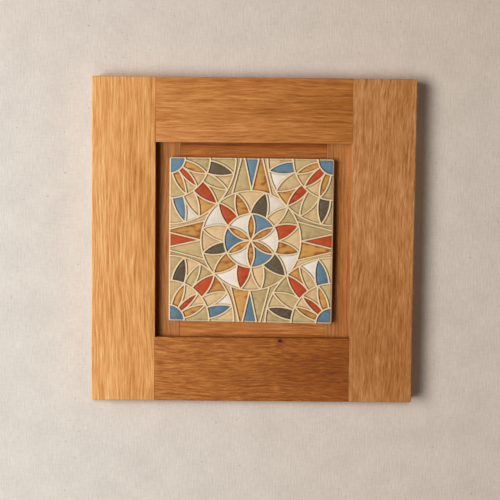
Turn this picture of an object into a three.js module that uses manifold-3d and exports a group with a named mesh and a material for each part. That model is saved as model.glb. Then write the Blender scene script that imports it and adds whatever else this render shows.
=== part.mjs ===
// A wall plaque: a square relief-glazed tile with a mosaic design, on an inner frame of oak that is set
// into a rebate behind a wide frame of oak. It hangs on one screw by a keyhole slot in the top rail's back.
// Millimetres. +X is to the viewer's right, +Z is up and the plaque faces -Y, its back on the plane Y = 0.
// The origin is on the flat back of the top rail, below the keyhole slot.
import * as THREE from "three";
import { mergeVertices } from "three/addons/utils/BufferGeometryUtils.js";
import Module from "manifold-3d";

const wasm = await Module();
wasm.setup();

// Driving dimensions of the tile. It is hand made, so it is a little taller on its right, leans a little to
// its left and sits a little turned and left of the opening's middle.
const tileWidth = 152.7;
const tileHeight = 153.1;
const tileThickness = 7.3;
const tileTaper = 1.15;
const tileLean = 1;
const tileTurnDegrees = -0.475;
const tileOffsetX = -1.87;
const tileOffsetZ = 0.2;

// The wide frame: its opening is larger than the tile, and its face stands a little in front of the tile's.
const sideReveal = 14.65;
const endReveal = 14.25;
const stileWidth = 59;
const railWidth = 60;
const boardThickness = 19;
const tileSetBack = 0.3;
const cornerRadius = 1.6;
const outerArris = 1;
const glueLine = 0.1;

// The inner frame sits in a rebate at the back of the opening, and the tile laps over its window.
const rebateWidth = 9.5;
const rebateClearance = 0.3;
const tileLap = 8.35;

// The design on the tile is drawn in raised lines, with a sunk field of glaze in each cell between them:
// a rosette in a ring of petals, and in each corner a quarter flower that touches the ring.
const lineWidth = 1.3;
const lineHeight = 0.8;
const arcStep = 5;
const rosetteRadius = 25;
const ringPetals = 12;
const flowerHub = 15;
const flowerBand = 38;
const flowerPetals = [3, 5];
const flowerGap = 29.3;
const petalRise = 0.09;
const bowRoom = 0.95;
const edgeFoot = 2.4;
const flankShare = 0.27;
const flankAngle = THREE.MathUtils.degToRad(23);
const wobble = 0.12;
const wobbleStride = 2.4;
const overrun = 0.5;

// The keyhole slot takes the head of one screw.
const keyholeHeadRadius = 4.75;
const keyholeNeckWidth = 5;
const keyholeTravel = 12;
const keyholeDepth = 8.5;
const keyholeLip = 3.5;
const keyholeDrop = 27;
const mountDrop = 40;

// What follows from them.
const fullTurn = 2 * Math.PI;
const openingHalfWidth = tileWidth / 2 + sideReveal;
const openingHalfHeight = tileHeight / 2 + endReveal;
const frameHalfWidth = openingHalfWidth + stileWidth;
const frameHalfHeight = openingHalfHeight + railWidth;
const centreZ = mountDrop - frameHalfHeight;
const recessDepth = tileThickness + glueLine + tileSetBack;
const innerThickness = boardThickness - recessDepth - glueLine;
const innerHalfWidth = openingHalfWidth + rebateWidth - rebateClearance;
const innerHalfHeight = openingHalfHeight + rebateWidth - rebateClearance;
const windowHalfWidth = tileWidth / 2 - tileLap;
const windowHalfHeight = tileHeight / 2 - tileLap;
const tileBackY = -innerThickness - glueLine;
const flowerRadius = (Math.min(tileWidth, tileHeight) - flowerGap) / 2;
const ringRadius = Math.hypot(tileWidth, tileHeight) / 2 - flowerRadius;

// A closed geometry as a solid that can be cut and joined.
function solidOf(geometry) {
  const bare = geometry.index ? geometry.toNonIndexed() : geometry.clone();
  bare.deleteAttribute("normal");
  bare.deleteAttribute("uv");
  const merged = mergeVertices(bare, 1e-4);
  return new wasm.Manifold(
    new wasm.Mesh({
      numProp: 3,
      vertProperties: merged.attributes.position.array,
      triVerts: new Uint32Array(merged.index.array),
    }),
  );
}

function geometryOf(solid) {
  const mesh = solid.getMesh();
  const geometry = new THREE.BufferGeometry();
  geometry.setAttribute("position", new THREE.BufferAttribute(mesh.vertProperties, 3));
  geometry.setIndex(new THREE.BufferAttribute(mesh.triVerts, 1));
  const flat = geometry.toNonIndexed();
  flat.computeVertexNormals();
  return flat;
}

// A box between two planes along each axis.
function box([x0, x1], [y0, y1], [z0, z1]) {
  const geometry = new THREE.BoxGeometry(x1 - x0, y1 - y0, z1 - z0);
  geometry.translate((x0 + x1) / 2, (y0 + y1) / 2, (z0 + z1) / 2);
  return solidOf(geometry);
}

// An outline in X and Z, given depth towards the viewer from the plane Y = fromY.
function raised(shape, fromY, depth, bevel = 0) {
  const geometry = new THREE.ExtrudeGeometry(shape, {
    depth: depth - 2 * bevel,
    bevelEnabled: bevel > 0,
    bevelThickness: bevel,
    bevelSize: bevel,
    bevelOffset: -bevel,
    bevelSegments: 2,
    curveSegments: 6,
  });
  geometry.translate(0, 0, bevel);
  geometry.rotateX(fullTurn / 4);
  geometry.translate(0, fromY, 0);
  return solidOf(geometry);
}

function roundedRectangle(halfWidth, halfHeight, radius, middleZ) {
  const shape = new THREE.Shape();
  const quarter = fullTurn / 4;
  const [x, z] = [halfWidth - radius, halfHeight - radius];
  shape.absarc(x, middleZ + z, radius, 0, quarter, false);
  shape.absarc(-x, middleZ + z, radius, quarter, 2 * quarter, false);
  shape.absarc(-x, middleZ - z, radius, 2 * quarter, 3 * quarter, false);
  shape.absarc(x, middleZ - z, radius, 3 * quarter, fullTurn, false);
  return shape;
}

// The outside of the assembled frame, with its arris eased all round, back and front.
const envelope = raised(
  roundedRectangle(frameHalfWidth, frameHalfHeight, cornerRadius, centreZ), 0, boardThickness, outerArris,
);

const rebate = box(
  [-openingHalfWidth - rebateWidth, openingHalfWidth + rebateWidth],
  [recessDepth - boardThickness, 1],
  [centreZ - openingHalfHeight - rebateWidth, centreZ + openingHalfHeight + rebateWidth],
);

// One board of the wide frame: the rebate runs round the opening, so it is stopped in the stiles.
function wideBoard(xRange, zRange) {
  return box(xRange, [-boardThickness, 0], zRange).intersect(envelope).subtract(rebate);
}

// One board of the inner frame.
function innerBoard(xRange, zRange) {
  return box(xRange, [-innerThickness, 0], zRange);
}

// The keyhole: a round way in for the screw's head, a neck above it, and an undercut behind the neck.
function keyhole() {
  const holeZ = mountDrop - keyholeDrop;
  const endZ = holeZ + keyholeTravel;
  const slot = (radius) => {
    const shape = new THREE.Shape();
    shape.absarc(0, endZ, radius, 0, fullTurn / 2, false);
    shape.absarc(0, holeZ, radius, fullTurn / 2, fullTurn, false);
    return shape;
  };
  const hole = new THREE.Shape();
  hole.absarc(0, holeZ, keyholeHeadRadius, 0, fullTurn, false);
  const neck = raised(slot(keyholeNeckWidth / 2), 1, 1 + keyholeDepth);
  const undercut = raised(slot(keyholeHeadRadius), -keyholeLip, keyholeDepth - keyholeLip);
  return raised(hole, 1, 1 + keyholeDepth).add(neck).add(undercut);
}

// The tile's outline, counter-clockwise from its bottom left corner, in its own plane.
const tileCorners = [[-1, -1], [1, -1], [1, 1], [-1, 1]].map(([x, z]) => [
  (x * tileWidth - z * tileLean) / 2,
  z * (tileHeight / 2 + x * tileTaper / 4),
]);

const polar = ([x, y], radius, angle) => [x + radius * Math.cos(angle), y + radius * Math.sin(angle)];
const angleOf = ([x0, y0], [x1, y1]) => Math.atan2(y1 - y0, x1 - x0);
const distance = ([x0, y0], [x1, y1]) => Math.hypot(x1 - x0, y1 - y0);
const arc = (centre, radius) => ({ centre, radius });

// A repeatable small share, between -1 and 1, that makes the drawn lines a little uneven.
const uneven = (seed) => Math.sin(seed * wobbleStride);

// An arc between two points that rises to the right of its way by a share of its chord.
function bow(from, to, share) {
  const chord = distance(from, to);
  const rise = chord * share;
  const radius = (chord ** 2 / 4 + rise ** 2) / (2 * rise);
  const middle = [(from[0] + to[0]) / 2, (from[1] + to[1]) / 2];
  return arc(polar(middle, radius - rise, angleOf(from, to) + fullTurn / 4), radius);
}

// A ring of pointed petals, and the gaps between them. Cells are {corners, sides}, counter-clockwise: side
// i runs from corner i to the next, and is "line", "edge" on the tile's outline, or an arc. A ring that
// doesn't close is cut by the tile's edges.
function petalRing(centre, inner, outer, start, sweep, petals, seed) {
  const closed = sweep === fullTurn;
  const foot = closed ? 0 : edgeFoot / inner;
  const step = (sweep - 2 * foot) / petals;
  const rim = arc(centre, outer);
  const cusp = (i) => {
    const fixed = !closed && (i === 0 || i === petals);
    const shift = fixed ? 0 : wobble * uneven(seed + (i % petals));
    return polar(centre, inner, start + foot + step * (i + shift));
  };
  const tip = (i) => {
    const shift = 0.5 + wobble * uneven(seed + (i % petals) + 0.5);
    return polar(centre, outer, start + foot + step * (i + shift));
  };
  // The rise of the two bows that meet at a cusp, small enough that they don't cross.
  const bulge = (i) => {
    if (!closed && (i === 0 || i === petals)) return petalRise;
    const [before, after] = [tip((i + petals - 1) % petals), tip(i)].map((end) => angleOf(cusp(i), end));
    const apart = THREE.MathUtils.euclideanModulo(after - before, fullTurn);
    return Math.min(petalRise, (bowRoom * Math.tan(apart / 4)) / 2);
  };
  const cells = [];
  for (let i = 0; i < petals; i++) {
    const rising = bow(cusp(i), tip(i), bulge(i));
    const falling = bow(tip(i), cusp(i + 1), bulge(i + 1));
    cells.push({ corners: [cusp(i), tip(i), cusp(i + 1)], sides: [rising, falling, arc(centre, inner)] });
    if (closed || i < petals - 1) {
      const next = bow(cusp(i + 1), tip(i + 1), bulge(i + 1));
      cells.push({ corners: [tip(i), tip(i + 1), cusp(i + 1)], sides: [rim, next, falling] });
    }
  }
  if (!closed) {
    const last = petals - 1;
    const band = arc(centre, inner);
    const [bandStart, bandEnd] = [start, start + sweep].map((angle) => polar(centre, inner, angle));
    const [rimStart, rimEnd] = [start, start + sweep].map((angle) => polar(centre, outer, angle));
    const rising = bow(cusp(0), tip(0), bulge(0));
    const falling = bow(tip(last), cusp(petals), bulge(petals));
    cells.push({ corners: [bandStart, rimStart, tip(0), cusp(0)], sides: ["edge", rim, rising, band] });
    cells.push({
      corners: [tip(last), rimEnd, bandEnd, cusp(petals)],
      sides: [rim, "edge", band, falling],
    });
  }
  return cells;
}

// A quarter flower in a corner of the tile: a hub, then rings of petals out to the rim.
function cornerFlower(index, rim) {
  const centre = tileCorners[index];
  const start = angleOf(centre, tileCorners[(index + 1) % 4]);
  const end = angleOf(centre, tileCorners[(index + 3) % 4]);
  const sweep = THREE.MathUtils.euclideanModulo(end - start, fullTurn);
  const hubStart = polar(centre, flowerHub, start);
  const hubEnd = polar(centre, flowerHub, end);
  const hub = { corners: [centre, hubStart, hubEnd], sides: ["edge", arc(centre, flowerHub), "edge"] };
  const bands = [flowerHub, flowerBand, rim];
  const rings = flowerPetals.flatMap((petals, i) =>
    petalRing(centre, bands[i], bands[i + 1], start, sweep, petals, 7 * index + 3 * i),
  );
  return [hub, ...rings];
}

// Six petals drawn with a compass in a circle, and the gaps between them.
function rosette() {
  const middle = [0, 0];
  const petals = 6;
  const tip = (k) => polar(middle, rosetteRadius, (fullTurn * (k + 0.5)) / petals);
  const cells = [];
  for (let k = 0; k < petals; k++) {
    const [before, after] = [arc(tip(k - 1), rosetteRadius), arc(tip(k + 1), rosetteRadius)];
    cells.push({ corners: [middle, tip(k)], sides: [after, before] });
    const across = arc(tip(k + 2), rosetteRadius);
    cells.push({
      corners: [middle, tip(k), tip(k + 1)],
      sides: [before, arc(middle, rosetteRadius), across],
    });
  }
  return cells;
}

// The cells between the ring, two corner flowers and one edge of the tile.
function edgeGap(index, rims) {
  const [a, b] = [tileCorners[index], tileCorners[(index + 1) % 4]];
  const along = angleOf(a, b);
  const length = distance(a, b);
  const outward = along - fullTurn / 4;
  const onRing = (offset) => polar([0, 0], ringRadius, outward + offset);
  const [from, to] = [rims[index], length - rims[(index + 1) % 4]];
  const flank = (to - from) * flankShare;
  const ways = [from, from + flank - edgeFoot, from + flank, to - flank, to - flank + edgeFoot, to];
  const [e0, e1, e2, e3, e4, e5] = ways.map((way) => polar(a, way, along));
  const [p0, p1, p2] = [onRing(-flankAngle), onRing(0), onRing(flankAngle)];
  const touch = (corner) => polar([0, 0], ringRadius, angleOf([0, 0], corner));
  const ring = arc([0, 0], ringRadius);
  const rimA = arc(a, rims[index]);
  const rimB = arc(b, rims[(index + 1) % 4]);
  return [
    { corners: [e2, e3, p1], sides: ["edge", "line", "line"] },
    { corners: [e1, e2, p1, p0], sides: ["edge", "line", ring, "line"] },
    { corners: [e3, e4, p2, p1], sides: ["edge", "line", ring, "line"] },
    { corners: [e0, e1, p0, touch(a)], sides: ["edge", "line", ring, rimA] },
    { corners: [e4, e5, touch(b), p2], sides: ["edge", rimB, ring, "line"] },
  ];
}

// Every cell of the design.
function layout() {
  const rims = tileCorners.map((corner) => distance(corner, [0, 0]) - ringRadius);
  const ring = petalRing([0, 0], rosetteRadius, ringRadius, 0, fullTurn, ringPetals, 0);
  const corners = [0, 1, 2, 3].flatMap((i) => [...cornerFlower(i, rims[i]), ...edgeGap(i, rims)]);
  return [...rosette(), ...ring, ...corners];
}

// A side moved into its cell by half of a line's width, or out past the tile's edge. A straight one becomes
// {point, angle}.
function movedSide(side, from, to) {
  if (side === "line" || side === "edge") {
    const angle = angleOf(from, to);
    const shift = side === "line" ? lineWidth / 2 : -overrun;
    return { point: polar(from, shift, angle + fullTurn / 4), angle };
  }
  const turn = (from[0] - side.centre[0]) * (to[1] - side.centre[1]) -
    (from[1] - side.centre[1]) * (to[0] - side.centre[0]);
  const bulges = turn > 0;
  return { centre: side.centre, radius: side.radius + (bulges ? -lineWidth : lineWidth) / 2, bulges };
}

// Where two moved sides meet, nearest to a point.
function meeting(a, b, near) {
  if (a.radius === undefined && b.radius === undefined) {
    const [dx, dy] = [b.point[0] - a.point[0], b.point[1] - a.point[1]];
    const t = (dx * Math.sin(b.angle) - dy * Math.cos(b.angle)) / Math.sin(b.angle - a.angle);
    return polar(a.point, t, a.angle);
  }
  if (a.radius === undefined) return meeting(b, a, near);
  let [foot, angle, half] = [null, 0, 0];
  if (b.radius === undefined) {
    const [dx, dy] = [a.centre[0] - b.point[0], a.centre[1] - b.point[1]];
    const t = dx * Math.cos(b.angle) + dy * Math.sin(b.angle);
    [foot, angle] = [polar(b.point, t, b.angle), b.angle];
    half = Math.sqrt(Math.max(0, a.radius ** 2 - distance(foot, a.centre) ** 2));
  } else {
    const d = distance(a.centre, b.centre);
    const t = (d * d + a.radius ** 2 - b.radius ** 2) / (2 * d);
    const between = angleOf(a.centre, b.centre);
    [foot, angle] = [polar(a.centre, t, between), between + fullTurn / 4];
    half = Math.sqrt(Math.max(0, a.radius ** 2 - t * t));
  }
  const ends = [polar(foot, half, angle), polar(foot, -half, angle)];
  return distance(ends[0], near) < distance(ends[1], near) ? ends[0] : ends[1];
}

// The outline of a cell's sunk field.
function fieldOutline({ corners, sides }) {
  const count = corners.length;
  const moved = sides.map((side, i) => movedSide(side, corners[i], corners[(i + 1) % count]));
  const middle = corners.reduce(([sx, sy], [x, y]) => [sx + x / count, sy + y / count], [0, 0]);
  const meets = corners.map((corner, i) => {
    const inside = polar(corner, distance(corner, middle) / 4, angleOf(corner, middle));
    return meeting(moved[(i + count - 1) % count], moved[i], inside);
  });
  return meets.flatMap((from, i) => {
    const { centre, radius, bulges } = moved[i];
    if (radius === undefined) return [from];
    const to = meets[(i + 1) % count];
    const start = angleOf(centre, from);
    const half = fullTurn / 2;
    const swing = THREE.MathUtils.euclideanModulo(angleOf(centre, to) - start + half, fullTurn) - half;
    const sweep = bulges === swing > 0 ? swing : 0;
    const steps = Math.max(1, Math.ceil((Math.abs(sweep) * radius) / arcStep));
    return Array.from({ length: steps }, (_, k) => polar(centre, radius, start + (sweep * k) / steps));
  });
}

function outlineShape(points) {
  return new THREE.Shape(points.map(([x, y]) => new THREE.Vector2(x, y)));
}

// The tile, modelled flat on its back in its own plane, its face towards the viewer.
function tile() {
  const body = raised(outlineShape(tileCorners), 0, tileThickness);
  const fieldY = lineHeight - tileThickness;
  const fields = layout().map((cell) => raised(outlineShape(fieldOutline(cell)), fieldY, lineHeight + 1));
  return fields.reduce((cut, field) => cut.subtract(field), body);
}

const oak = (colour) => new THREE.MeshStandardMaterial({ color: colour, roughness: 0.5, metalness: 0 });
const glaze = new THREE.MeshStandardMaterial({ color: 0xcfb07c, roughness: 0.2, metalness: 0 });
const plaque = new THREE.Group();

function place(name, solid, material) {
  const mesh = new THREE.Mesh(geometryOf(solid), material);
  mesh.name = name;
  plaque.add(mesh);
  return mesh;
}

const [left, right] = [-frameHalfWidth, frameHalfWidth];
const [bottom, top] = [centreZ - frameHalfHeight, centreZ + frameHalfHeight];
const wholeHeight = [bottom, top];
const railSpan = [-openingHalfWidth + glueLine, openingHalfWidth - glueLine];
const topRail = wideBoard(railSpan, [centreZ + openingHalfHeight, top]).subtract(keyhole());
place("left_stile", wideBoard([left, -openingHalfWidth], wholeHeight), oak(0xdd9e5f));
place("right_stile", wideBoard([openingHalfWidth, right], wholeHeight), oak(0xad7343));
place("top_rail", topRail, oak(0xb5733c));
place("bottom_rail", wideBoard(railSpan, [bottom, centreZ - openingHalfHeight]), oak(0x9d5c2b));

const innerHeight = [centreZ - innerHalfHeight, centreZ + innerHalfHeight];
const innerSpan = [-windowHalfWidth + glueLine, windowHalfWidth - glueLine];
const innerOak = oak(0xa76435);
place("inner_left_stile", innerBoard([-innerHalfWidth, -windowHalfWidth], innerHeight), innerOak);
place("inner_right_stile", innerBoard([windowHalfWidth, innerHalfWidth], innerHeight), innerOak);
place("inner_top_rail", innerBoard(innerSpan, [centreZ + windowHalfHeight, innerHeight[1]]), innerOak);
place("inner_bottom_rail", innerBoard(innerSpan, [innerHeight[0], centreZ - windowHalfHeight]), innerOak);

const mosaicTile = place("mosaic_tile", tile(), glaze);
mosaicTile.position.set(tileOffsetX, tileBackY, centreZ + tileOffsetZ);
mosaicTile.rotation.y = THREE.MathUtils.degToRad(-tileTurnDegrees);

export default plaque;
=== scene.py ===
"""A relief-glazed tile in a double frame of oak, hung on a wall.

Metres in Blender, with +X to the right, +Z up and the face towards -Y. The tile's design and the wood's grain
are worked out in millimetres, and the design's points are complex numbers in the tile's own plane.
"""
import cmath
import math

import bmesh
import bpy
import numpy as np
from mathutils import Matrix, Vector, noise
from mathutils.geometry import delaunay_2d_cdt


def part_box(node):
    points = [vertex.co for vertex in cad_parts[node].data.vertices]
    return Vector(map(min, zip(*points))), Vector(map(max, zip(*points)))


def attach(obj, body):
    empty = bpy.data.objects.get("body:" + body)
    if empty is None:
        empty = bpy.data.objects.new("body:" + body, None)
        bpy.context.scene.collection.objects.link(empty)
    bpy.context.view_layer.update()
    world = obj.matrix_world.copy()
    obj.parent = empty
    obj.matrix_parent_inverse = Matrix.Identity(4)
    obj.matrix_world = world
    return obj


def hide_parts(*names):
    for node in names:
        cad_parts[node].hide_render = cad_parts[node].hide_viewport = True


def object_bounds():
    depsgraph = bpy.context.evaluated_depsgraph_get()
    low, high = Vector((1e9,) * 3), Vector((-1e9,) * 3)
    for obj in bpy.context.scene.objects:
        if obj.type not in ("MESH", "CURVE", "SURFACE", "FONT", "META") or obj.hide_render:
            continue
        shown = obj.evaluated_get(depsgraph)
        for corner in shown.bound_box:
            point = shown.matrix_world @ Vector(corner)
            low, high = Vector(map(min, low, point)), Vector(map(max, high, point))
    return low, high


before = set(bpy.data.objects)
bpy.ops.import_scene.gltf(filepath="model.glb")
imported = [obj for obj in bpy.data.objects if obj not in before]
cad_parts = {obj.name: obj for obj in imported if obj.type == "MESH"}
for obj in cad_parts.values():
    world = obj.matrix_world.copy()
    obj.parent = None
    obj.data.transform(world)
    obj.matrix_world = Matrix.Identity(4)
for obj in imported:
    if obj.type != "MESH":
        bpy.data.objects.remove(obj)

CAD_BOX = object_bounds()
LOW, HIGH = (Vector(corner) for corner in CAD_BOX)
MIDDLE = (LOW + HIGH) / 2
MM = 0.001
QUARTER = math.pi / 2

# The camera: an 85 mm lens, a little above the plaque's middle and turned a little clockwise.
LENS = 85
SENSOR = 36
CAMERA_AZIMUTH = math.radians(-0.434)
CAMERA_ELEVATION = math.radians(4.093)
CAMERA_ROLL = math.radians(0.582)
CAMERA_DISTANCE = 1.0978
CAMERA_AIM = Vector((-0.0028, 0, -0.0085))


def linear(red, green, blue):
    """A colour given in sRGB steps of 0 to 255, as the linear colour that the shaders take."""
    def channel(step):
        share = step / 255
        return share / 12.92 if share <= 0.04045 else ((share + 0.055) / 1.055) ** 2.4
    return (channel(red), channel(green), channel(blue), 1)


def scaled(colour, factor):
    return tuple(min(1, part * factor) for part in colour[:3]) + (1,)


class Graph:
    """A material's shader nodes, joined as they are added."""

    def __init__(self, name):
        self.material = bpy.data.materials.new(name)
        self.material.use_nodes = True
        self.tree = self.material.node_tree
        self.tree.nodes.clear()

    def node(self, kind, inputs=None, out=0, **settings):
        node = self.tree.nodes.new("ShaderNode" + kind)
        for key, value in settings.items():
            setattr(node, key, value)
        for key, value in (inputs or {}).items():
            if isinstance(value, bpy.types.NodeSocket):
                self.tree.links.new(value, node.inputs[key])
            else:
                node.inputs[key].default_value = value
        return node.outputs[out]

    def math(self, operation, a, b=0.0):
        return self.node("Math", {0: a, 1: b}, operation=operation)

    def total(self, *terms):
        result = terms[0]
        for term in terms[1:]:
            result = self.math("ADD", result, term)
        return result

    def times(self, a, b):
        return self.math("MULTIPLY", a, b)

    def minus(self, a, b):
        return self.math("SUBTRACT", a, b)

    def centred(self, value, size):
        """A noise moved to lie about 0, and given a size."""
        return self.times(self.minus(value, 0.5), size)

    def smooth(self, value, start, end):
        inputs = {"Value": value, "From Min": start, "From Max": end}
        return self.node("MapRange", inputs, interpolation_type="SMOOTHSTEP")

    def noise(self, vector, detail=2.0, roughness=0.5):
        """Noise with features about as large as one unit of the vector, from 0 to 1 about 0.5."""
        inputs = {"Vector": vector, "Scale": 1.0, "Detail": detail, "Roughness": roughness}
        return self.node("TexNoise", inputs)

    def mix(self, share, a, b):
        return self.node("Mix", {0: share, 6: a, 7: b}, out=2, data_type="RGBA")

    def ramp(self, value, stops):
        socket = self.node("ValToRGB", {"Fac": value})
        elements = socket.node.color_ramp.elements
        while len(elements) < len(stops):
            elements.new(0.5)
        for element, (place, colour) in zip(elements, stops):
            element.position = place
            element.color = colour
        return socket

    def bump(self, height, distance, strength=1.0):
        """A normal bent by a height, which counts from 0 to 1 and is that distance high in metres."""
        return self.node("Bump", {"Height": height, "Distance": distance, "Strength": strength})

    def surface(self, **inputs):
        names = {key.replace("_", " "): value for key, value in inputs.items()}
        return self.node("BsdfPrincipled", names)

    def finish(self, shader):
        self.node("OutputMaterial", {"Surface": shader}, out=slice(0, 0))
        return self.material


def millimetres(g):
    """The place of a point, in millimetres, as three separate values."""
    place = g.node("TexCoord", out="Object")
    scaled_place = g.node("VectorMath", {0: place, 1: (1 / MM,) * 3}, operation="MULTIPLY")
    node = g.node("SeparateXYZ", {0: scaled_place}).node
    return node.outputs[0], node.outputs[1], node.outputs[2]


# How fast each part of a wood colour falls as the colour deepens, and the range of depths in use.
DEEPENING = (1.0, 1.52, 2.7)
DEPTH_LOW, DEPTH_HIGH = -0.6, 1.2
DEPTH_STOPS = 9
BASE_DEPTH = -0.10

# The layers of noise in the grain: their features' length and width in mm, and their detail and roughness.
GRAIN = {
    "wander": (110, 34, 1.0, 0.5),
    "wave": (17, 7, 2.0, 0.5),
    "presence": (34, 5, 1.0, 0.5),
    "streak": (36, 1.9, 3.0, 0.6),
    "dash": (21, 0.85, 3.0, 0.62),
    "band": (38, 2.6, 2.0, 0.5),
    "fibre": (14, 0.28, 2.0, 0.6),
    "tone": (120, 15, 2.0, 0.5),
    "pore": (3.4, 0.27, 1.0, 0.5),
    "ragged": (2.2, 1.5, 1.0, 0.5),
}
# How far, in mm, wander and wave bend the grain, and how much the early wood and the layers named here
# deepen the colour.
WANDER, WAVE = 11.0, 2.0
EARLY, STREAK, DASH, FIBRE, TONE, PORE = 0.17, 0.46, 0.92, 0.40, 0.42, 0.34

# The growth rings: their mean width in mm, by how many rings they drift and over how many mm. The early wood
# fades in the first part of a ring and comes back in its last.
RING_WIDTH = 2.3
RING_DRIFT = 2.6
RING_DRIFT_LENGTH = 7
EARLY_FADE = (0.05, 0.6)
EARLY_RETURN = (0.8, 1.0)

# A knot's size in mm, how ragged it is, how far in mm the grain bends round it, and where its bend, its halo
# and its core begin to fade and end, counted in its own size.
KNOT_LENGTH, KNOT_WIDTH = 2.4, 1.9
KNOT_RAGGED = 1.1
KNOT_BEND = 2.2
KNOT_BEND_ENDS = (0.4, 6.0)
KNOT_HALO_ENDS = (0.9, 3.4)
KNOT_CORE_ENDS = (0.6, 1.1)
KNOT_COLOUR = (0.040, 0.014, 0.006, 1)

# The painted shade strip in a recess comes in between these places along Y, in mm, so that only the front has
# it.
PAINTED_SHADE_FRONT = (-10.0, -11.0)


def deepened(colour, depth):
    """A wood colour made deeper by a depth, or lighter by a negative one: its blue changes the most."""
    parts = [min(0.95, part * math.exp(-depth * share)) for part, share in zip(colour, DEEPENING)]
    return (*parts, 1)


def oak(name, middle, upright, colour, trunk, tilt=0.0, figure=1.0, run=1.0, contrast=1.0, bands=0.0,
        tone_slope=(0, 0), cloud_and_shade=None, knot=None, painted_recess_shade=None):
    """Oak: growth rings about a trunk's axis, with rows of pores, fibres and slow changes of tone.

    Places are in mm, as (along, across), and middle is the board's own. trunk is where the axis lies, as
    (across the board, behind its face), and tilt is how far it leans for each mm along the board. figure
    scales the small waves in the grain, run the length of its streaks and contrast their depth, and bands is
    how deep its broad dark bands are. tone_slope is how much deeper the colour gets for each 100 mm along and
    across. cloud_and_shade is a darker patch, as its place, length, width and depth: a cloud in the
    wood's own tone on some boards, and painted shade beside the tile on the inner right stile. knot is a
    place. painted_recess_shade is a strip of painted shade where the outer frame's edge shades the recess,
    as where across the board it starts, where it is full and how deep it is.
    """
    g = Graph(name)
    x, y, z = millimetres(g)
    along, across = (z, x) if upright else (x, z)

    def patch(centre, length, width):
        parts = {
            0: g.times(g.minus(along, centre[0]), 1 / length),
            1: g.times(g.minus(across, centre[1]), 1 / width),
        }
        return g.node("VectorMath", {0: g.node("CombineXYZ", parts)}, out="Value", operation="LENGTH")

    def layer(kind, side=across, stretch=1.0):
        length, width, detail, roughness = GRAIN[kind]
        length *= stretch
        parts = {0: g.times(along, 1 / length), 1: g.times(side, 1 / width), 2: g.times(y, 1 / width)}
        return g.noise(g.node("CombineXYZ", parts), detail, roughness)

    wander = g.centred(layer("wander"), WANDER)
    wave = g.centred(layer("wave"), WAVE * figure)
    sway = g.total(across, wander, wave, g.times(along, tilt))
    if knot:
        reach = g.total(patch(knot, KNOT_LENGTH, KNOT_WIDTH), g.centred(layer("ragged"), KNOT_RAGGED))
        round_knot = g.minus(1.0, g.smooth(reach, *KNOT_BEND_ENDS))
        sway = g.minus(sway, g.times(round_knot, KNOT_BEND))
    offsets = {0: g.minus(sway, trunk[0]), 1: g.minus(y, trunk[1])}
    radius = g.node("VectorMath", {0: g.node("CombineXYZ", offsets)}, out="Value", operation="LENGTH")

    drift = g.noise(g.node("CombineXYZ", {0: g.times(radius, 1 / RING_DRIFT_LENGTH)}), 1.0)
    ring = g.math("FRACT", g.total(g.times(radius, 1 / RING_WIDTH), g.centred(drift, RING_DRIFT)))
    early = g.math("MAXIMUM", g.minus(1.0, g.smooth(ring, *EARLY_FADE)), g.smooth(ring, *EARLY_RETURN))
    early = g.times(early, g.smooth(layer("presence", sway, run), 0.3, 0.68))
    streak = layer("streak", sway, run)
    dash = layer("dash", sway, run)
    band = g.smooth(layer("band", sway, run), 0.50, 0.64)
    fibre = layer("fibre", sway)
    tone = layer("tone")
    # Most pores lie in the early wood.
    pore = g.smooth(layer("pore", sway), 0.57, 0.7)
    pore = g.times(pore, g.total(g.times(early, 0.75), 0.25))

    terms = [
        g.times(early, EARLY * contrast), g.centred(streak, STREAK * contrast),
        g.centred(dash, DASH * contrast), g.centred(fibre, FIBRE), g.centred(tone, TONE),
        g.times(pore, PORE), g.times(band, bands), BASE_DEPTH,
        g.times(g.minus(along, middle[0]), tone_slope[0] / 100),
        g.times(g.minus(across, middle[1]), tone_slope[1] / 100),
    ]
    # A darker patch: a cloud in the wood's own tone on some boards, and painted shade beside the tile on the
    # inner right stile.
    if cloud_and_shade:
        shade = g.minus(1.0, g.smooth(patch(cloud_and_shade[:2], *cloud_and_shade[2:4]), 0.2, 1.0))
        terms.append(g.times(shade, cloud_and_shade[4]))
    # Painted shade: a strip of the recess under the outer frame's edge is darkened in the colour.
    if painted_recess_shade:
        strip = g.times(g.smooth(across, painted_recess_shade[0], painted_recess_shade[1]), g.smooth(y, *PAINTED_SHADE_FRONT))
        terms.append(g.times(strip, painted_recess_shade[2]))
    depth = g.total(*terms)
    share = g.node("MapRange", {"Value": depth, "From Min": DEPTH_LOW, "From Max": DEPTH_HIGH})
    places = [k / (DEPTH_STOPS - 1) for k in range(DEPTH_STOPS)]
    span = DEPTH_HIGH - DEPTH_LOW
    body = g.ramp(share, [(place, deepened(colour, DEPTH_LOW + span * place)) for place in places])
    if knot:
        halo = g.minus(1.0, g.smooth(reach, *KNOT_HALO_ENDS))
        body = g.mix(g.times(halo, 0.5), body, deepened(colour, 0.6))
        core = g.minus(1.0, g.smooth(reach, *KNOT_CORE_ENDS))
        body = g.mix(core, body, KNOT_COLOUR)
    relief = g.total(g.times(pore, -0.8), g.times(fibre, 0.35), g.times(dash, -0.25), g.times(early, -0.2))
    normal = g.bump(relief, 0.00007, 0.8)
    roughness = g.total(g.times(early, 0.08), g.times(fibre, 0.12), 0.42)
    return g.finish(g.surface(Base_Color=body, Roughness=roughness, Normal=normal, Specular_IOR_Level=0.3))


# A board's mesh: the size of its arris and how near points are that become one, in metres, and the angles
# up to which faces are joined and from which edges are eased.
ARRIS = 0.00032
WELD = 0.00001
SLIVER = 0.000002
FLAT = math.radians(1)
SHARP = math.radians(40)


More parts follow.
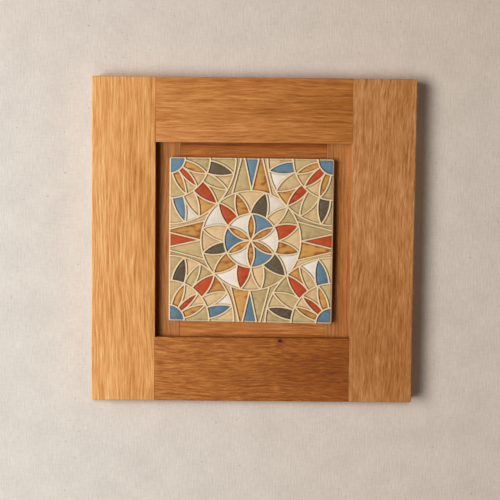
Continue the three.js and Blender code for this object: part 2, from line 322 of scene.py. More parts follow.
def board(node, material):
    """A board with its arrises eased, in place of its plain solid."""
    bm = bmesh.new()
    bm.from_mesh(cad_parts[node].data)
    bmesh.ops.remove_doubles(bm, verts=bm.verts, dist=WELD)
    bmesh.ops.dissolve_limit(bm, angle_limit=FLAT, verts=bm.verts, edges=bm.edges)
    sharp = [edge for edge in bm.edges if edge.is_manifold and edge.calc_face_angle() > SHARP]
    bmesh.ops.bevel(bm, geom=sharp, offset=ARRIS, segments=2, profile=0.5, affect="EDGES", clamp_overlap=True)
    bmesh.ops.dissolve_degenerate(bm, dist=SLIVER, edges=bm.edges)
    mesh = bpy.data.meshes.new(node + "_board")
    bm.to_mesh(mesh)
    bm.free()
    mesh.shade_smooth()
    mesh.materials.append(material)
    piece = bpy.data.objects.new(node + "_board", mesh)
    bpy.context.collection.objects.link(piece)
    weighted = piece.modifiers.new("weighted", "WEIGHTED_NORMAL")
    weighted.keep_sharp = True
    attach(piece, "root")
    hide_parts(node)


# The boards' own colours and how each was sawn, with painted shade on some of the inner boards.
BOARDS = {
    "left_stile": {
        "colour": (0.744, 0.320, 0.084), "trunk": (-45, 74), "tilt": 0.012, "figure": 0.6, "run": 0.95,
        "contrast": 1.35, "tone_slope": (0, 0.27),
    },
    "right_stile": {
        "colour": (0.545, 0.215, 0.060), "trunk": (215, 52), "tilt": -0.030, "figure": 1.5, "run": 0.5,
        "contrast": 1.2, "bands": 0.15, "tone_slope": (0, 0.15), "cloud_and_shade": (-215, 122, 110, 60, 0.12),
    },
    "top_rail": {
        "colour": (0.527, 0.182, 0.034), "trunk": (64, 66), "tilt": 0.010, "figure": 0.6, "run": 0.72,
        "contrast": 1.18, "bands": 0.08, "tone_slope": (0.20, 0.20),
    },
    "bottom_rail": {
        "colour": (0.384, 0.111, 0.013), "trunk": (-330, 44), "tilt": 0.022, "figure": 1.8, "run": 0.42,
        "contrast": 1.7, "bands": 0.12, "tone_slope": (0.23, 0), "cloud_and_shade": (55, -228, 60, 20, 0.16),
        "knot": (26.3, -204.4),
    },
    "inner_left_stile": {
        "colour": (0.441, 0.160, 0.032), "trunk": (-140, 48), "contrast": 1.3,
        # Painted shade in the recess beside the left stile's edge.
        "painted_recess_shade": (-86.4, -88.8, 0.75),
    },
    "inner_right_stile": {
        "colour": (0.426, 0.150, 0.031), "trunk": (20, 58), "tilt": 0.015, "run": 1.2, "contrast": 1.4,
        # Painted shade beside the tile's right edge, where the tile's shadow falls.
        "cloud_and_shade": (-110.8, 75, 86, 6, 0.75),
    },
    "inner_top_rail": {
        "colour": (0.382, 0.108, 0.013), "trunk": (30, 70), "figure": 1.2, "contrast": 1.5,
        # Painted shade in the recess under the top rail's edge.
        "painted_recess_shade": (-27, -21.5, 0.4),
    },
    "inner_bottom_rail": {
        "colour": (0.492, 0.161, 0.029), "trunk": (-120, 60), "tilt": 0.01, "contrast": 1.5,
    },
}


def frame_boards():
    """The eight boards, each of its own wood."""
    for node, sawn in BOARDS.items():
        low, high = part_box(node)
        centre = (low + high) / 2 / MM
        upright = node.endswith("stile")
        middle = (centre.z, centre.x) if upright else (centre.x, centre.z)
        board(node, oak(node + "_wood", middle, upright, **sawn))


# The tile's design, in mm: a rosette in a ring of petals, and a quarter flower in each corner. A petal's side
# is a bow that rises by a share of its chord, and the two bows at a cusp leave some room between them.
ROSETTE_RADIUS = 25
RING_PETALS = 12
FLOWER_HUB = 15
FLOWER_BAND = 38
FLOWER_PETALS = (3, 5)
FLOWER_GAP = 29.3
PETAL_RISE = 0.09
BOW_ROOM = 0.95
EDGE_FOOT = 2.9
FLANK_SHARE = 0.27
FLANK_ANGLE = math.radians(23)
WOBBLE = 0.12
WOBBLE_STRIDE = 2.4
LINE, EDGE = "line", "edge"


def polar(origin, radius, angle):
    """The point at a distance and an angle from another."""
    return origin + cmath.rect(radius, angle)


def heading(start, end):
    """The angle of the way from one point to another."""
    return cmath.phase(end - start)


def uneven(seed):
    """A repeatable share, between -1 and 1, that makes the design a little uneven."""
    return math.sin(seed * WOBBLE_STRIDE)


def bow(start, end, share):
    """An arc, as (centre, radius), that rises to the right of its way by a share of its chord."""
    chord = abs(end - start)
    rise = chord * share
    radius = (chord ** 2 / 4 + rise ** 2) / (2 * rise)
    return polar((start + end) / 2, radius - rise, heading(start, end) + QUARTER), radius


def petal_ring(centre, inner, outer, start, sweep, petals, seed, name):
    """A ring of petals and the gaps between them, as cells of (name, corners, sides), counter-clockwise."""
    closed = sweep == math.tau
    foot = 0 if closed else EDGE_FOOT / inner
    step = (sweep - 2 * foot) / petals
    band, rim = (centre, inner), (centre, outer)

    def cusp(i):
        fixed = not closed and i in (0, petals)
        shift = 0 if fixed else WOBBLE * uneven(seed + i % petals)
        return polar(centre, inner, start + foot + step * (i + shift))

    def tip(i):
        shift = 0.5 + WOBBLE * uneven(seed + i % petals + 0.5)
        return polar(centre, outer, start + foot + step * (i + shift))

    def bulge(i):
        """The rise of the two bows that meet at a cusp, small enough that they don't cross."""
        if not closed and i in (0, petals):
            return PETAL_RISE
        apart = (heading(cusp(i), tip(i)) - heading(cusp(i), tip(i - 1))) % math.tau
        return min(PETAL_RISE, BOW_ROOM * math.tan(apart / 4) / 2)

    cells = []
    for i in range(petals):
        rising = bow(cusp(i), tip(i), bulge(i))
        falling = bow(tip(i), cusp(i + 1), bulge(i + 1))
        cells.append((name + "_petal", [cusp(i), tip(i), cusp(i + 1)], [rising, falling, band]))
        if closed or i < petals - 1:
            following = bow(cusp(i + 1), tip(i + 1), bulge(i + 1))
            cells.append((name + "_gap", [tip(i), tip(i + 1), cusp(i + 1)], [rim, following, falling]))
    if not closed:
        last = petals - 1
        band_start, band_end = (polar(centre, inner, angle) for angle in (start, start + sweep))
        rim_start, rim_end = (polar(centre, outer, angle) for angle in (start, start + sweep))
        rising = bow(cusp(0), tip(0), bulge(0))
        falling = bow(tip(last), cusp(petals), bulge(petals))
        first_end = [band_start, rim_start, tip(0), cusp(0)]
        last_end = [tip(last), rim_end, band_end, cusp(petals)]
        cells.append((name + "_end", first_end, [EDGE, rim, rising, band]))
        cells.append((name + "_end", last_end, [rim, EDGE, band, falling]))
    return cells


def corner_flower(corners, index, rim):
    """The cells of the quarter flower in one corner of the tile."""
    centre = corners[index]
    start = heading(centre, corners[(index + 1) % 4])
    end = heading(centre, corners[(index + 3) % 4])
    sweep = (end - start) % math.tau
    hub_start = polar(centre, FLOWER_HUB, start)
    hub_end = polar(centre, FLOWER_HUB, end)
    cells = [("hub", [centre, hub_start, hub_end], [EDGE, (centre, FLOWER_HUB), EDGE])]
    bands = (FLOWER_HUB, FLOWER_BAND, rim)
    for i, petals in enumerate(FLOWER_PETALS):
        seed = 7 * index + 3 * i
        name = ("first", "second")[i]
        cells += petal_ring(centre, bands[i], bands[i + 1], start, sweep, petals, seed, name)
    return cells


def rosette():
    """The cells of the rosette in the middle of the tile."""
    petals = 6
    tips = [polar(0, ROSETTE_RADIUS, math.tau * (k + 0.5) / petals) for k in range(petals)]

    def about(k):
        return tips[k % petals], ROSETTE_RADIUS

    cells = []
    for k in range(petals):
        after, before, across = about(k + 1), about(k - 1), about(k + 2)
        cells.append(("rosette_petal", [0, tips[k]], [after, before]))
        following = tips[(k + 1) % petals]
        cells.append(("rosette_gap", [0, tips[k], following], [before, (0, ROSETTE_RADIUS), across]))
    return cells


def edge_gap(corners, index, rims, ring_radius):
    """The cells between the ring, two corner flowers and one edge of the tile."""
    a, b = corners[index], corners[(index + 1) % 4]
    along = heading(a, b)
    outward = along - QUARTER
    length = abs(b - a)
    first, last = rims[index], length - rims[(index + 1) % 4]
    flank = (last - first) * FLANK_SHARE
    ways = (first, first + flank - EDGE_FOOT, first + flank,
            last - flank, last - flank + EDGE_FOOT, last)
    e0, e1, e2, e3, e4, e5 = (polar(a, way, along) for way in ways)
    p0, p1, p2 = (polar(0, ring_radius, outward + turn) for turn in (-FLANK_ANGLE, 0, FLANK_ANGLE))
    touch_a, touch_b = (polar(0, ring_radius, cmath.phase(corner)) for corner in (a, b))
    ring = (0, ring_radius)
    rim_a, rim_b = (a, rims[index]), (b, rims[(index + 1) % 4])
    return [
        ("spear", [e2, e3, p1], [EDGE, LINE, LINE]),
        ("flank", [e1, e2, p1, p0], [EDGE, LINE, ring, LINE]),
        ("flank", [e3, e4, p2, p1], [EDGE, LINE, ring, LINE]),
        ("wedge", [e0, e1, p0, touch_a], [EDGE, LINE, ring, rim_a]),
        ("wedge", [e4, e5, touch_b, p2], [EDGE, rim_b, ring, LINE]),
    ]


def layout(corners):
    """All cells of the design, for a tile with these corners."""
    width = abs(corners[1] - corners[0] + corners[2] - corners[3]) / 2
    height = abs(corners[3] - corners[0] + corners[2] - corners[1]) / 2
    flower_radius = (min(width, height) - FLOWER_GAP) / 2
    ring_radius = math.hypot(width, height) / 2 - flower_radius
    rims = [abs(corner) - ring_radius for corner in corners]
    cells = rosette()
    cells += petal_ring(0, ROSETTE_RADIUS, ring_radius, 0, math.tau, RING_PETALS, 0, "ring")
    for index in range(4):
        cells += corner_flower(corners, index, rims[index])
        cells += edge_gap(corners, index, rims, ring_radius)
    return cells


# The tile's edge: its radius in mm, the angles of its rows, the depth in mm at which it is level and of clay,
# its chamfer behind, and how far from a line, in mm, its glaze counts as being.
EDGE_ROUND = 1.2
EDGE_ANGLES = (0.4, 0.8, 1.2, QUARTER)
LEVEL_DEPTH = 3.1
BACK_CHAMFER = 0.5
EDGE_GLAZE = 0.72

# The tile's relief, in mm: its ridges and their wear, its domed fields, and the length and height of the
# unevenness in both.
RIDGE_TOP = 0.42
RIDGE_FOOT = 1.25
RIDGE_HEIGHT = 1.15
RIDGE_WEAR = 0.035
DOME_HEIGHT = 0.3
DOME_WIDTH = 3.2
SWELL, SWELL_LENGTH = 0.05, 7
RIPPLE, RIPPLE_LENGTH = 0.02, 1.9

# The relief's mesh, in mm: the steps along the lines, the rings beside them, the grid over the fields, and
# how near a point is that counts as the same or as on a side.
SAMPLE_STEP = 0.8
RING_INSETS = (0.4, 0.6, 0.78, 0.94, 1.1, 1.3, 1.6, 2.2)
FILL_STEP = 1.7
FILL_RISE = 0.866
FILL_FROM_LINES = 2.3
FILL_FROM_OUTLINE = 0.5
SAME_PLACE = 0.001
ON_SIDE = 0.0005
CDT_INSIDE = 1
CDT_NEAR = 0.0002


def moved(side, start, end, inset):
    """A side moved into its cell: (point, heading) if it is straight, or (centre, radius, bulges)."""
    if side in (LINE, EDGE):
        angle = heading(start, end)
        shift = inset if side == LINE else EDGE_ROUND
        return polar(start, shift, angle + QUARTER), angle
    centre, radius = side
    spoke, other = start - centre, end - centre
    bulges = spoke.real * other.imag - spoke.imag * other.real > 0
    return centre, radius - inset if bulges else radius + inset, bulges


def meeting(a, b, near):
    """Where two moved sides meet, nearest to a point, or None where they don't."""
    if len(a) == 2 and len(b) == 2:
        gap = b[0] - a[0]
        turn = math.sin(b[1] - a[1])
        way = (gap.real * math.sin(b[1]) - gap.imag * math.cos(b[1])) / turn
        return polar(a[0], way, a[1])
    if len(a) == 2:
        return meeting(b, a, near)
    centre, radius = a[:2]
    if len(b) == 2:
        unit = cmath.rect(1, b[1])
        reach = ((centre - b[0]) * unit.conjugate()).real
        foot = b[0] + reach * unit
        square, angle = radius ** 2 - abs(foot - centre) ** 2, b[1]
    else:
        span = abs(b[0] - centre)
        reach = (span ** 2 + radius ** 2 - b[1] ** 2) / (2 * span)
        bearing = heading(centre, b[0])
        foot = polar(centre, reach, bearing)
        square, angle = radius ** 2 - reach ** 2, bearing + QUARTER
    if square < -SAME_PLACE:
        return None
    half = math.sqrt(max(0, square))
    ends = (polar(foot, half, angle), polar(foot, -half, angle))
    return min(ends, key=lambda end: abs(end - near))


def inset_corners(cell, inset):
    """A cell's corners with its sides moved in, and those sides, or None where too little of it is left."""
    _, corners, sides = cell
    count = len(corners)
    middle = sum(corners) / count
    lines = [moved(side, corners[i], corners[(i + 1) % count], inset) for i, side in enumerate(sides)]
    points = []
    for i, corner in enumerate(corners):
        point = corner
        if inset or EDGE in (sides[i], sides[i - 1]):
            point = meeting(lines[i - 1], lines[i], corner + (middle - corner) / 4)
        if point is None:
            return None
        points.append(point)
    return points, lines


def swing(centre, start, end):
    """The turn about a centre from one point to another, the short way round."""
    return (heading(centre, end) - heading(centre, start) + math.pi) % math.tau - math.pi


def whole(cell, points, lines):
    """Whether every moved side still runs the way that it did."""
    _, corners, _ = cell
    for i, line in enumerate(lines):
        start, end = points[i], points[(i + 1) % len(points)]
        if len(line) == 2:
            before = corners[(i + 1) % len(corners)] - corners[i]
            if ((end - start) * before.conjugate()).real <= 0:
                return False
        elif (swing(line[0], start, end) > 0) != line[2]:
            return False
    return True


def between(line, start, end, stops=()):
    """The points on a side from its start up to, but not at, its end, the same for both of its cells."""
    points = [start]
    if len(line) == 2:
        low, high = sorted((start, end), key=lambda p: (round(p.real, 4), round(p.imag, 4)))
        steps = max(1, round(abs(end - start) / SAMPLE_STEP))
        inner = [low + (high - low) * k / steps for k in range(1, steps)]
    else:
        centre, radius = line[:2]
        turn = swing(centre, start, end)
        step = math.tau / max(12, round(math.tau * radius / SAMPLE_STEP))
        first = heading(centre, start)
        low, high = sorted((first, first + turn))
        numbers = range(math.ceil(low / step), math.floor(high / step) + 1)
        inner = [polar(centre, radius, k * step) for k in numbers]
    clear = SAMPLE_STEP / 4
    inner = [p for p in inner if all(abs(p - stop) > clear for stop in (start, end, *stops))]
    inner += [stop for stop in stops if min(abs(stop - start), abs(stop - end)) > SAME_PLACE]
    return points + sorted(inner, key=lambda point: abs(point - start))


def lies_on(point, line, start, end):
    """Whether a point is on a side, between its ends."""
    if len(line) == 2:
        unit = cmath.rect(1, line[1])
        way = (point - start) * unit.conjugate()
        return abs(way.imag) < ON_SIDE and 0 < way.real < abs(end - start)
    centre, radius = line[:2]
    if abs(abs(point - centre) - radius) > ON_SIDE:
        return False
    turn, part = swing(centre, start, end), swing(centre, start, point)
    return 0 < part / turn < 1


def relief(distance, where):
    """How far the surface lies behind the tile's face, in mm, at a distance from the nearest drawn line."""
    rise = np.clip((distance - RIDGE_TOP) / (RIDGE_FOOT - RIDGE_TOP), 0, 1)
    slope = rise * rise * (3 - 2 * rise)
    dome = np.clip((distance - RIDGE_FOOT) / DOME_WIDTH, 0, 1)
    swell = np.array([noise.noise(Vector((p.real, p.imag, 3)) / SWELL_LENGTH) for p in where])
    ripple = np.array([noise.noise(Vector((p.real, p.imag, 9)) / RIPPLE_LENGTH) for p in where])
    crown = RIDGE_WEAR * (1 - slope) * (1 + np.clip(ripple * 2, -1, 1))
    field = RIDGE_HEIGHT + SWELL * swell - DOME_HEIGHT * dome * (2 - dome) - RIPPLE * ripple
    return crown + slope * field


def distances(points, curve):
    """The distance from each point to the nearest of a curve's segments."""
    p = np.array(points)[:, None]
    a = np.array([segment[0] for segment in curve])[None]
    b = np.array([segment[1] for segment in curve])[None]
    way = np.clip(((p - a) * (b - a).conj()).real / abs(b - a) ** 2, 0, 1)
    return abs(p - a - way * (b - a)).min(1)


def cell_mesh(cell, joints):
    """A cell's points, their distances from its drawn lines and from bare clay, and its triangles."""
    _, _, sides = cell
    points, lines = inset_corners(cell, 0)
    count = len(points)
    outline, drawn = [], []
    for i, line in enumerate(lines):
        start, end = points[i], points[(i + 1) % count]
        stops = [] if sides[i] == EDGE else [j for j in joints if lies_on(j, line, start, end)]
        run = between(line, start, end, stops)
        outline += run
        if sides[i] != EDGE:
            drawn += list(zip(run, run[1:] + [end]))
    segments = [(k, (k + 1) % len(outline)) for k in range(len(outline))]
    loop = list(range(len(outline)))
    vertices = list(outline)
    for inset in RING_INSETS:
        ring = inset_corners(cell, inset)
        if not ring or not whole(cell, *ring):
            continue
        for i, line in enumerate(ring[1]):
            if sides[i] == EDGE:
                continue
            start, end = ring[0][i], ring[0][(i + 1) % count]
            first = len(vertices)
            vertices += between(line, start, end) + [end]
            segments += [(k, k + 1) for k in range(first, len(vertices) - 1)]
    vertices += filling(outline, drawn)
    flat = [Vector((p.real, p.imag)) for p in vertices]
    flat, _, faces, _, _, _ = delaunay_2d_cdt(flat, segments, [loop], CDT_INSIDE, CDT_NEAR)
    places = [complex(p.x, p.y) for p in flat]
    spans = distances(places, drawn)
    bare = spans
    for i, side in enumerate(sides):
        if side == EDGE:
            edge = [(points[i], points[(i + 1) % count])]
            bare = np.minimum(bare, distances(places, edge) + EDGE_GLAZE)
    return places, spans, bare, faces


def filling(outline, drawn):
    """Points on a grid over the middle of a cell."""
    shape = np.array(outline)
    low = complex(shape.real.min(), shape.imag.min())
    high = complex(shape.real.max(), shape.imag.max())
    grid = []
    rows = int((high - low).imag / (FILL_STEP * FILL_RISE)) + 1
    columns = int((high - low).real / FILL_STEP) + 1
    for row in range(rows):
        for column in range(columns):
            grid.append(low + complex((column + row % 2 / 2) * FILL_STEP, row * FILL_STEP * FILL_RISE))
    grid = [p for p in grid if inside(p, shape)]
    if not grid:
        return []
    border = list(zip(outline, outline[1:] + outline[:1]))
    clear = (distances(grid, drawn) > FILL_FROM_LINES) & (distances(grid, border) > FILL_FROM_OUTLINE)
    return [p for p, kept in zip(grid, clear) if kept]


def inside(point, shape):
    """Whether a point is inside an outline, by how often a line to its right crosses it."""
    following = np.roll(shape, -1)
    side = following - shape
    crosses = (shape.imag > point.imag) != (following.imag > point.imag)
    with np.errstate(divide="ignore", invalid="ignore"):
        at = shape.real + (point.imag - shape.imag) * side.real / side.imag
    return np.count_nonzero(crosses & (point.real < at)) % 2 == 1


# Each glaze: its colour, the colour where it pools, how much it streaks and how much it clouds.
GLAZES = {
    "blue": (linear(106, 134, 153), linear(66, 92, 103), 0.4, 0.6),
    "ochre": (linear(212, 154, 80), linear(166, 92, 32), 1.0, 0.5),
    "red": (linear(194, 76, 33), linear(141, 46, 16), 0.45, 0.9),
    "tan": (linear(225, 190, 140), linear(188, 148, 98), 0.35, 0.8),
    "sage": (linear(203, 174, 122), linear(158, 132, 84), 0.35, 0.8),
    "white": (linear(240, 226, 209), linear(208, 194, 172), 0.12, 0.5),
    "charcoal": (linear(101, 86, 66), linear(60, 45, 31), 0.4, 1.0),
}
GLAZE_NAMES = list(GLAZES)
CELL_GLAZES = {
    "rosette_petal": ["ochre"],
    "rosette_gap": ["blue", "white"],
    "ring_petal": ["red", "tan", "charcoal", "ochre"],
    "ring_gap": ["sage", "white", "tan"],
    "hub": ["blue"],
    "first_petal": ["ochre", "red", "ochre"],
    "first_gap": ["tan"],
    "first_end": ["sage"],
    "second_petal": ["blue", "tan", "red", "sage", "charcoal"],
    "second_gap": ["white", "ochre", "sage", "tan"],
    "second_end": ["tan", "sage"],
    "spear": ["blue", "red"],
    "flank": ["ochre", "sage"],
    "wedge": ["tan", "sage"],
}
LINE_COLOUR = linear(246, 218, 174)
SEAM_COLOUR = linear(104, 70, 40)
CLAY_COLOUR = linear(182, 144, 106)


# By the distance in mm from the middle of a line: where the glaze begins to cover and where it does, where a
# dark seam comes and goes, partly glaze pooled at a ridge's foot and partly painted shade, and where the
# pooled glaze at a field's shore starts to end and ends.
GLAZE_COVERS = (0.62, 0.92)
SEAM_COMES = (0.76, 0.98)
SEAM_GOES = (1.05, 1.6)
SEAM_STRENGTH = 0.5
SHORE_ENDS = (1.0, 3.2)


def glaze(name, colour, pool, streaks, clouding):
    """A satin glaze that thins to a cream line over the ridges and is deeper in colour where it pools."""
    g = Graph(name)
    x, _, z = millimetres(g)
    distance = g.node("Attribute", out="Fac", attribute_name="line_distance")
    cell_tone = g.node("Attribute", out="Fac", attribute_name="cell_tone")

    def place(width, height, shift=0.0):
        return g.node("CombineXYZ", {0: g.times(x, 1 / width), 1: shift, 2: g.times(z, 1 / height)})

    mottle = g.noise(place(7.5, 6), 2.0, 0.55)
    smear = g.noise(place(8, 4.6, 17.0), 1.0)
    speckle = g.noise(place(0.9, 0.9, 4.0), 2.0, 0.6)
    drift = g.noise(place(2.6, 2.6, 8.0), 2.0)
    ragged = g.total(distance, g.centred(speckle, 0.16))
    glazed = g.smooth(ragged, *GLAZE_COVERS)
    shore = g.minus(1.0, g.smooth(ragged, *SHORE_ENDS))
    pooled = g.total(
        g.times(g.smooth(smear, 0.46, 0.70), streaks * 0.6),
        g.centred(mottle, 1.6 * clouding),
        g.times(shore, 0.12 + 0.34 * streaks),
        g.centred(drift, 0.5 * clouding),
        g.centred(speckle, 0.25),
        g.times(cell_tone, 0.2),
        0.12,
    )
    body = g.ramp(pooled, [(0.0, scaled(colour, 1.12)), (0.25, colour), (1.0, pool)])
    # The seam at a ridge's foot: partly glaze pooled in the crease, partly painted shade.
    seam = g.times(g.smooth(ragged, *SEAM_COMES), g.minus(1.0, g.smooth(ragged, *SEAM_GOES)))
    body = g.mix(g.times(seam, SEAM_STRENGTH), body, SEAM_COLOUR)
    cream = g.mix(g.times(g.minus(drift, 0.2), 0.6), LINE_COLOUR, scaled(LINE_COLOUR, 0.8))
    body = g.mix(glazed, cream, body)
    normal = g.bump(g.total(mottle, g.times(speckle, 0.25)), 0.00012, 0.5)
    roughness = g.total(g.times(glazed, -0.1), g.times(speckle, 0.12), 0.42)
    return g.finish(g.surface(Base_Color=body, Roughness=roughness, Normal=normal))


def clay():
    """Bare fired clay, with the print of the cloth that it was rolled on."""
    g = Graph("clay")
    x, y, z = millimetres(g)

    def place(width, height):
        parts = {0: g.times(x, 1 / width), 1: g.times(y, 1 / width), 2: g.times(z, 1 / height)}
        return g.node("CombineXYZ", parts)

    radians_a_mm = 3.4
    across, upright = (g.math("SINE", g.times(way, radians_a_mm)) for way in (x, z))
    weave = g.times(across, upright)
    grain = g.noise(place(1 / 1.4, 1 / 1.4), 3.0)
    clouds = g.noise(place(16, 9), 4.0, 0.65)
    grog = g.smooth(g.noise(place(1, 1), 1.0), 0.66, 0.72)
    shade = g.total(
        g.times(grain, 0.5), g.times(clouds, 0.9), g.times(grog, -0.22), g.times(weave, 0.03), -0.2,
    )
    stops = ((0.25, 0.62), (0.5, 0.9), (0.8, 1.1))
    body = g.ramp(shade, [(stop, scaled(CLAY_COLOUR, factor)) for stop, factor in stops])
    normal = g.bump(g.total(g.times(weave, 0.3), grain, g.times(clouds, 0.6)), 0.0002, 0.8)
    return g.finish(g.surface(Base_Color=body, Roughness=0.8, Normal=normal))


def tile_corners():
    """The tile's corners at its back, counter-clockwise from the bottom left, from its solid."""
    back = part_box("mosaic_tile")[1].y
    points = [v.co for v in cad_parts["mosaic_tile"].data.vertices if abs(v.co.y - back) < 0.1 * MM]
    directions = ((-1, -1), (1, -1), (1, 1), (-1, 1))
    found = [max(points, key=lambda p: sx * p.x + sz * p.z) for sx, sz in directions]
    return [complex(p.x, p.z) / MM for p in found]


def ordered_loop(edges):
    """The border's directed edges, joined into one loop of vertices."""
    following = dict(edges)
    start = edges[0][0]
    loop = [start]
    while following[loop[-1]] != start:
        loop.append(following[loop[-1]])
    return loop


def place_key(point):
    """A point's place to 0.001 mm, which is the same in each cell that has the point."""
    return round(point.real, 3), round(point.imag, 3)


def joined_cells(cells):
    """The cells as one sheet: its points, depths and glaze distances, and its faces, glazes and tones."""
    joints = {}
    for cell in cells:
        for point in inset_corners(cell, 0)[0]:
            joints[place_key(point)] = point
    places, depths, spans, index = [], [], [], {}
    faces, materials, tones = [], [], []
    used = {}
    for cell_no, cell in enumerate(cells):
        name = cell[0]
        points, span, bare, triangles = cell_mesh(cell, joints.values())
        numbers = []
        for point, glaze_distance, depth in zip(points, bare, relief(span, points)):
            key = place_key(point)
            if key not in index:
                index[key] = len(places)
                places.append(point)
                depths.append(depth)
                spans.append(glaze_distance)
            numbers.append(index[key])
        turn = used.get(name, 0)
        used[name] = turn + 1
        choice = CELL_GLAZES[name]
        glaze_no = GLAZE_NAMES.index(choice[turn % len(choice)])
        for triangle in triangles:
            corners = tuple(numbers[k] for k in triangle)
            if len(set(corners)) == 3:
                faces.append(corners)
                materials.append(glaze_no)
                tones.append(uneven(cell_no + 1))
    return places, depths, spans, faces, materials, tones


def border_directions(places, loop):
    """The direction out of the border at each of its points."""
    directions = []
    for k in range(len(loop)):
        before, here, after = (places[loop[(k + step) % len(loop)]] for step in (-1, 0, 1))
        out = sum(cmath.rect(1, heading(*pair) - QUARTER) for pair in ((before, here), (here, after)))
        directions.append(out / abs(out))
    return directions


def tile():
    """The tile as one closed mesh: its glazed relief, its rounded edge, its sides and its back."""
    corners = tile_corners()
    centre = sum(corners) / 4
    spin = cmath.rect(1, (heading(corners[0], corners[1]) + heading(corners[3], corners[2])) / 2)
    face_y, back_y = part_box("mosaic_tile")[0].y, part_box("mosaic_tile")[1].y
    thickness = (back_y - face_y) / MM
    cells = layout([(corner - centre) / spin for corner in corners])
    places, depths, spans, faces, materials, tones = joined_cells(cells)

    owner = {(f[k], f[(k + 1) % 3]): m for f, m in zip(faces, materials) for k in range(3)}
    loop = ordered_loop([edge for edge in owner if (edge[1], edge[0]) not in owner])
    directions = border_directions(places, loop)
    border_glaze = [owner[loop[k], loop[(k + 1) % len(loop)]] for k in range(len(loop))]
    clay_no = len(GLAZE_NAMES)
    vertices = [Vector((p.real, d, p.imag)) for p, d in zip(places, depths)]

    # The rows of the edge: how far out each lies and how deep, and whether it is level and of bare clay. The
    # others follow the relief.
    rows = [(EDGE_ROUND * math.sin(a), EDGE_ROUND * (1 - math.cos(a)), False) for a in EDGE_ANGLES]
    rows += [
        (EDGE_ROUND, LEVEL_DEPTH, True),
        (EDGE_ROUND, thickness - BACK_CHAMFER, True),
        (EDGE_ROUND - BACK_CHAMFER, thickness, True),
    ]
    previous = loop
    for offset, drop, level in rows:
        row = range(len(vertices), len(vertices) + len(loop))
        for number, direction in zip(loop, directions):
            p = places[number] + direction * offset
            vertices.append(Vector((p.real, drop if level else depths[number] + drop, p.imag)))
            spans.append(spans[number])
        for k in range(len(loop)):
            following = (k + 1) % len(loop)
            faces.append((previous[following], previous[k], row[k], row[following]))
            materials.append(clay_no if level else border_glaze[k])
        previous = row
    faces.append(tuple(reversed(previous)))
    materials.append(clay_no)

    mesh = bpy.data.meshes.new("glazed_tile")
    placed = []
    for v in vertices:
        world = complex(v.x, v.z) * spin + centre
        placed.append((world.real * MM, face_y + v.y * MM, world.imag * MM))
    mesh.from_pydata(placed, [], faces)
    distance = mesh.attributes.new("line_distance", "FLOAT", "POINT")
    distance.data.foreach_set("value", [float(span) for span in spans])
    tones += [0.0] * (len(faces) - len(tones))
    mesh.attributes.new("cell_tone", "FLOAT", "FACE").data.foreach_set("value", tones)
    for name, recipe in GLAZES.items():
        mesh.materials.append(glaze(name + "_glaze", *recipe))
    mesh.materials.append(clay())
    mesh.polygons.foreach_set("material_index", materials)
    mesh.validate()
    mesh.shade_smooth()
    piece = bpy.data.objects.new("glazed_tile", mesh)
    bpy.context.collection.objects.link(piece)
    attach(piece, "root")
    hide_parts("mosaic_tile")


# The wall: its darkest and lightest paint at the left and at the right, graded from cool to warm as a painted
# tint of the light, and what is mixed into them: painted warmer light above, grime that also paints shade,
# and a painted cool tint.
WALL_COOL_LIGHT_TINT = (linear(213, 204, 194), linear(236, 227, 216))
WALL_WARM_LIGHT_TINT = (linear(214, 199, 184), linear(237, 221, 206))
WALL_UPPER_WARM_LIGHT = (0.55, 0.22, 0.10, 1)
WALL_GRIME_AND_SHADE = (0.10, 0.055, 0.03, 1)
WALL_SHEEN = (0.0, 0.42, 0.71, 1)


# How far the wall reaches from its middle, and its gap to the plaque's back, in metres.
WALL_REACH = 4.0
WALL_GAP = 0.0003


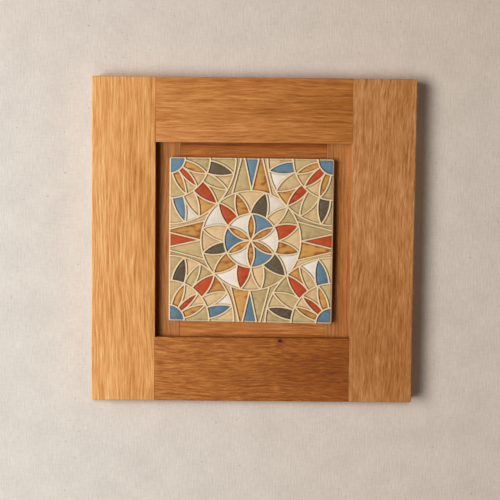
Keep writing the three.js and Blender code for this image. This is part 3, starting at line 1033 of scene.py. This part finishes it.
def wall():
    """A pale wall behind the plaque, which can't be seen from behind."""
    g = Graph("wall")
    x, _, z = millimetres(g)
    low, high, side = LOW.z / MM, HIGH.z / MM, HIGH.x / MM

    def place(width, height):
        return g.node("CombineXYZ", {0: g.times(x, 1 / width), 2: g.times(z, 1 / height)})

    threads = g.total(g.noise(place(8, 1.6), 2.0, 0.5), g.noise(place(1.6, 8), 2.0, 0.5))
    coarse = g.noise(place(28, 28), 3.0)
    tone = g.total(g.times(threads, 0.30), g.times(coarse, 0.36))
    cool, warm = (g.ramp(tone, list(zip((0.3, 0.7), paint))) for paint in (WALL_COOL_LIGHT_TINT, WALL_WARM_LIGHT_TINT))
    # Painted light: the paint grades from cool at the left to warm at the right, as the light on it does.
    body = g.mix(g.smooth(x, -260, 260), cool, warm)
    # Painted light: the upper part of the wall is a little warmer, as the light there is.
    body = g.mix(g.times(g.smooth(z, -40, 110), 0.07), body, WALL_UPPER_WARM_LIGHT)
    # Painted shade: it is darker close above and below the plaque, where the plaque's shadow falls.
    beside = g.smooth(g.math("ABSOLUTE", x), side + 3, side - 3)
    near = g.times(g.smooth(z, low - 9, low - 0.5), g.smooth(z, high + 16, high + 7))
    shade_depth = g.minus(0.52, g.times(g.smooth(z, low, high), 0.43))
    body = g.mix(g.times(g.times(near, beside), shade_depth), body, WALL_GRIME_AND_SHADE)
    # A cool tint is painted beside the plaque's left side, so that the warm light that the side throws
    # on the wall is hardly seen.
    across = g.times(g.smooth(x, -side - 22, -side), g.smooth(x, -side + 20, -side + 5))
    upright = g.times(g.smooth(z, low - 6, low + 6), g.smooth(z, high + 6, high - 6))
    body = g.mix(g.times(g.times(across, upright), 0.15), body, WALL_SHEEN)
    # Real dust: small dark specks, in the same dark colour.
    specks = g.smooth(g.noise(place(3.2, 3.2), 0.0), 0.80, 0.86)
    body = g.mix(g.times(specks, 0.3), body, WALL_GRIME_AND_SHADE)
    paint = g.surface(Base_Color=body, Roughness=0.9, Normal=g.bump(threads, 0.0004, 0.6))
    clear = g.node("BsdfTransparent")
    behind = g.node("NewGeometry", out="Backfacing")
    material = g.finish(g.node("MixShader", {0: behind, 1: paint, 2: clear}))
    mesh = bpy.data.meshes.new("wall")
    directions = ((-1, -1), (1, -1), (1, 1), (-1, 1))
    depth = HIGH.y + WALL_GAP
    corners = [(sx * WALL_REACH, depth, MIDDLE.z + sz * WALL_REACH) for sx, sz in directions]
    mesh.from_pydata(corners, [], [(0, 1, 2, 3)])
    mesh.materials.append(material)
    plane = bpy.data.objects.new("wall", mesh)
    bpy.context.collection.objects.link(plane)
    plane.visible_shadow = False


# The lights: their places from the plaque's middle, widths and heights in metres, powers in watts, and how
# many degrees each is turned in its own plane.
WINDOW = ((-2.4, -2.25, 0.17), 1.55, 2.95, 157, -38)
BACK_FILL = ((0.9, 1.6, 0.7), 1.6, 1.6, 27, 0)
ROOM_COLOUR = (0.93, 0.91, 0.83, 1)
ROOM_STRENGTH = 0.125


def area_light(name, offset, width, height, power, lean):
    """A soft light that faces the wall's front or back squarely."""
    light = bpy.data.lights.new(name, "AREA")
    light.shape = "RECTANGLE"
    light.size, light.size_y = width, height
    light.energy = power
    lamp = bpy.data.objects.new(name, light)
    lamp.location = MIDDLE + Vector(offset)
    lamp.rotation_euler = (math.copysign(QUARTER, -offset[1]), math.radians(lean), 0)
    lamp.visible_camera = False
    bpy.context.collection.objects.link(lamp)


def lights():
    """A window at the left, a weak light behind for the views from there, and the room's own light."""
    area_light("window", *WINDOW)
    area_light("back_fill", *BACK_FILL)
    world = bpy.data.worlds.new("room")
    world.use_nodes = True
    background = world.node_tree.nodes["Background"]
    background.inputs["Color"].default_value = ROOM_COLOUR
    background.inputs["Strength"].default_value = ROOM_STRENGTH
    bpy.context.scene.world = world
    bpy.context.scene.view_settings.view_transform = "Standard"


def camera():
    """The camera, placed by its azimuth, elevation and distance from its aim, and rolled about its view."""
    a, e, r = CAMERA_AZIMUTH, CAMERA_ELEVATION, CAMERA_ROLL
    back = Vector((math.sin(a) * math.cos(e), -math.cos(a) * math.cos(e), math.sin(e)))
    level = Vector((math.cos(a), math.sin(a), 0))
    upright = back.cross(level)
    right = math.cos(r) * level + math.sin(r) * upright
    up = math.cos(r) * upright - math.sin(r) * level
    aim = Vector((MIDDLE.x, LOW.y, MIDDLE.z)) + CAMERA_AIM
    eye = bpy.data.cameras.new("camera")
    eye.lens = LENS
    eye.sensor_width = SENSOR
    view = bpy.data.objects.new("camera", eye)
    turned = Matrix((right, up, back)).transposed().to_4x4()
    view.matrix_world = Matrix.Translation(aim + back * CAMERA_DISTANCE) @ turned
    bpy.context.collection.objects.link(view)
    bpy.context.scene.camera = view


camera()
lights()
wall()
frame_boards()
tile()
